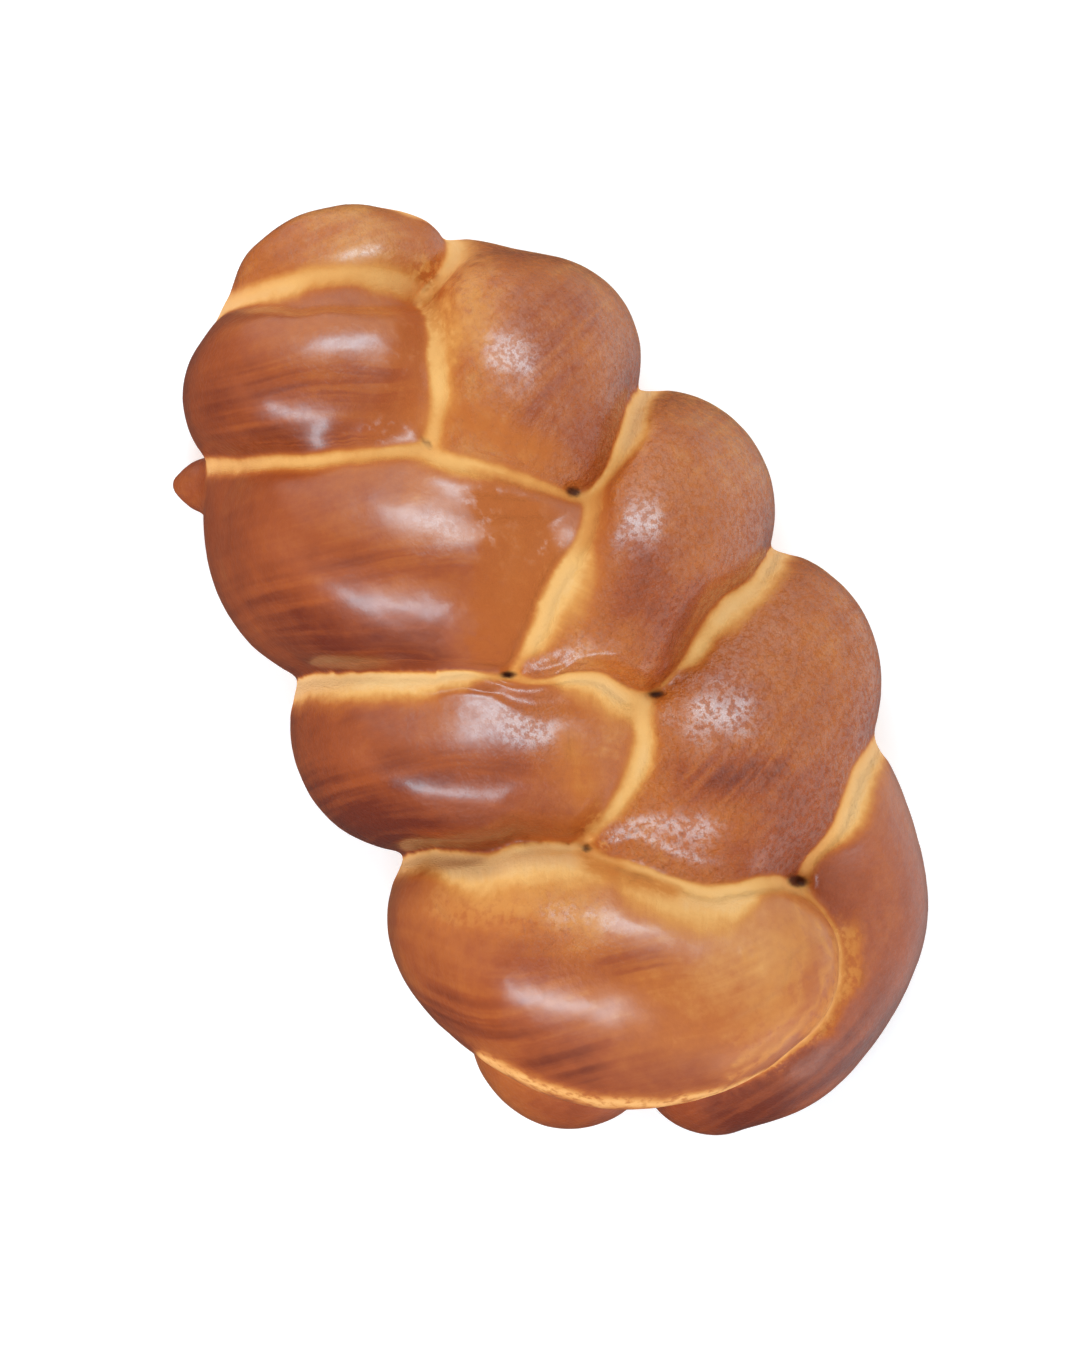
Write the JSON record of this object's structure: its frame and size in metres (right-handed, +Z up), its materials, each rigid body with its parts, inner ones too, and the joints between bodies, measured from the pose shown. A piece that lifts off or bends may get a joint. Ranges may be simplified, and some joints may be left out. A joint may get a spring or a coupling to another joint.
{
  "type": "braided brioche loaf",
  "caption": "Baked brioche loaf braided from strands, with a glossy egg-washed crust, plump overlapping lobes, tucked ends and a flat base.",
  "frame": {"origin": "centre of the loaf's outline seen from above, on the flat bottom crust", "axes": "+X along the loaf toward the end with the strand curled round its foot, +Y across the loaf, +Z up"},
  "size_m": [0.2418, 0.1366, 0.0766],
  "materials": {
    "crust": "glossy egg-washed baked crust, mid brown, with paler dough showing along the seams"
  },
  "bodies": {
    "root": {"loaf": "crust"}
  },
  "joints": []
}
